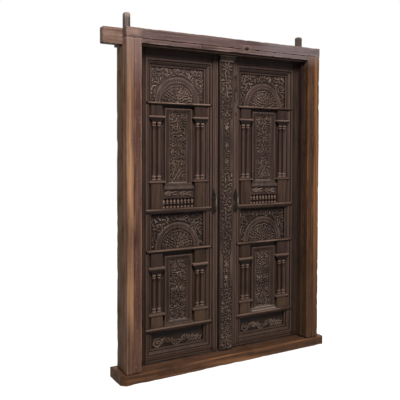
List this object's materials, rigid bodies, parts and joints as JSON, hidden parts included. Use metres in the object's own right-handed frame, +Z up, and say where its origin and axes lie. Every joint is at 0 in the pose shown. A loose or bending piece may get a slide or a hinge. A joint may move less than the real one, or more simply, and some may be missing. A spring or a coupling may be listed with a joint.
{
  "type": "carved double door with frame",
  "caption": "Double-leaf carved wooden door in a heavy timber frame with a sill, paired columns, arched panels, pull handles and a door chain.",
  "frame": {"origin": "middle of the sill's underside", "axes": "+X along the wall to the right as seen from the carved front, +Y through the wall from the carved front to the back, +Z up"},
  "size_m": [1.741, 0.209, 2.374],
  "materials": {
    "frame_wood": "old timber with worn edges, satin",
    "sill_wood": "old timber worn by feet, matte",
    "leaf_wood": "dark stained hardwood, satin",
    "carved_wood": "dark stained carved hardwood, satin",
    "forged_iron": "hand-forged iron, dark and dull"
  },
  "bodies": {
    "frame": {"sill": "sill_wood", "left_jamb": "frame_wood", "right_jamb": "frame_wood", "left_casing": "frame_wood", "right_casing": "frame_wood", "head_casing": "frame_wood", "head_strip": "frame_wood", "lintel_beam": "frame_wood", "pivot_rail": "frame_wood"},
    "left_leaf": {"left_hanging_post": "leaf_wood", "left_outer_stile": "leaf_wood", "left_meeting_stile": "leaf_wood", "left_reeded_strip": "leaf_wood", "left_rails": "leaf_wood", "left_field_moulding": "leaf_wood", "left_ledges": "leaf_wood", "left_upper_arch_panel": "carved_wood", "left_lower_arch_panel": "carved_wood", "left_field_boards": "leaf_wood", "left_base_frieze_panel": "carved_wood", "left_column_pedestals": "leaf_wood", "left_column_bases": "leaf_wood", "left_column_shafts": "leaf_wood", "left_column_capitals": "leaf_wood", "left_column_blocks": "leaf_wood", "left_niche_frames": "leaf_wood", "left_niche_panels": "carved_wood", "left_gallery_frieze": "carved_wood", "left_gallery_spindles": "leaf_wood", "left_pull_handle": "forged_iron"},
    "right_leaf": {"right_hanging_post": "leaf_wood", "right_outer_stile": "leaf_wood", "right_meeting_stile": "leaf_wood", "right_reeded_strip": "leaf_wood", "right_rails": "leaf_wood", "right_field_moulding": "leaf_wood", "right_ledges": "leaf_wood", "right_upper_arch_panel": "carved_wood", "right_lower_arch_panel": "carved_wood", "right_field_boards": "leaf_wood", "right_base_frieze_panel": "carved_wood", "right_column_pedestals": "leaf_wood", "right_column_bases": "leaf_wood", "right_column_shafts": "leaf_wood", "right_column_capitals": "leaf_wood", "right_column_blocks": "leaf_wood", "right_niche_frames": "leaf_wood", "right_niche_panels": "carved_wood", "right_gallery_frieze": "carved_wood", "right_gallery_spindles": "leaf_wood", "right_pull_handle": "forged_iron", "astragal": "carved_wood", "astragal_cap": "leaf_wood", "chain_staple": "forged_iron"},
    "upper_link": {"chain_link_upper": "forged_iron"},
    "middle_link": {"chain_link_middle": "forged_iron"},
    "lower_link": {"chain_link_lower": "forged_iron"}
  },
  "joints": [
    {"name": "left_leaf_swing", "type": "hinge", "parent": "frame", "child": "left_leaf", "pos_m": [-0.713, 0.0645, 0.067], "axis": [0, 0, 1], "range_deg": [0, 100]},
    {"name": "right_leaf_swing", "type": "hinge", "parent": "frame", "child": "right_leaf", "pos_m": [0.713, 0.0645, 0.067], "axis": [0, 0, -1], "range_deg": [0, 100]},
    {"name": "upper_link_swing", "type": "hinge", "parent": "right_leaf", "child": "upper_link", "pos_m": [0.082, -0.0215, 2.004], "axis": [-1, 0, 0], "range_deg": [0, 60]},
    {"name": "middle_link_swing", "type": "hinge", "parent": "upper_link", "child": "middle_link", "pos_m": [0.082, -0.0215, 1.9193], "axis": [0, -1, 0], "range_deg": [-5, 20]},
    {"name": "lower_link_swing", "type": "hinge", "parent": "middle_link", "child": "lower_link", "pos_m": [0.082, -0.0215, 1.8349], "axis": [-1, 0, 0], "range_deg": [0, 60]}
  ]
}
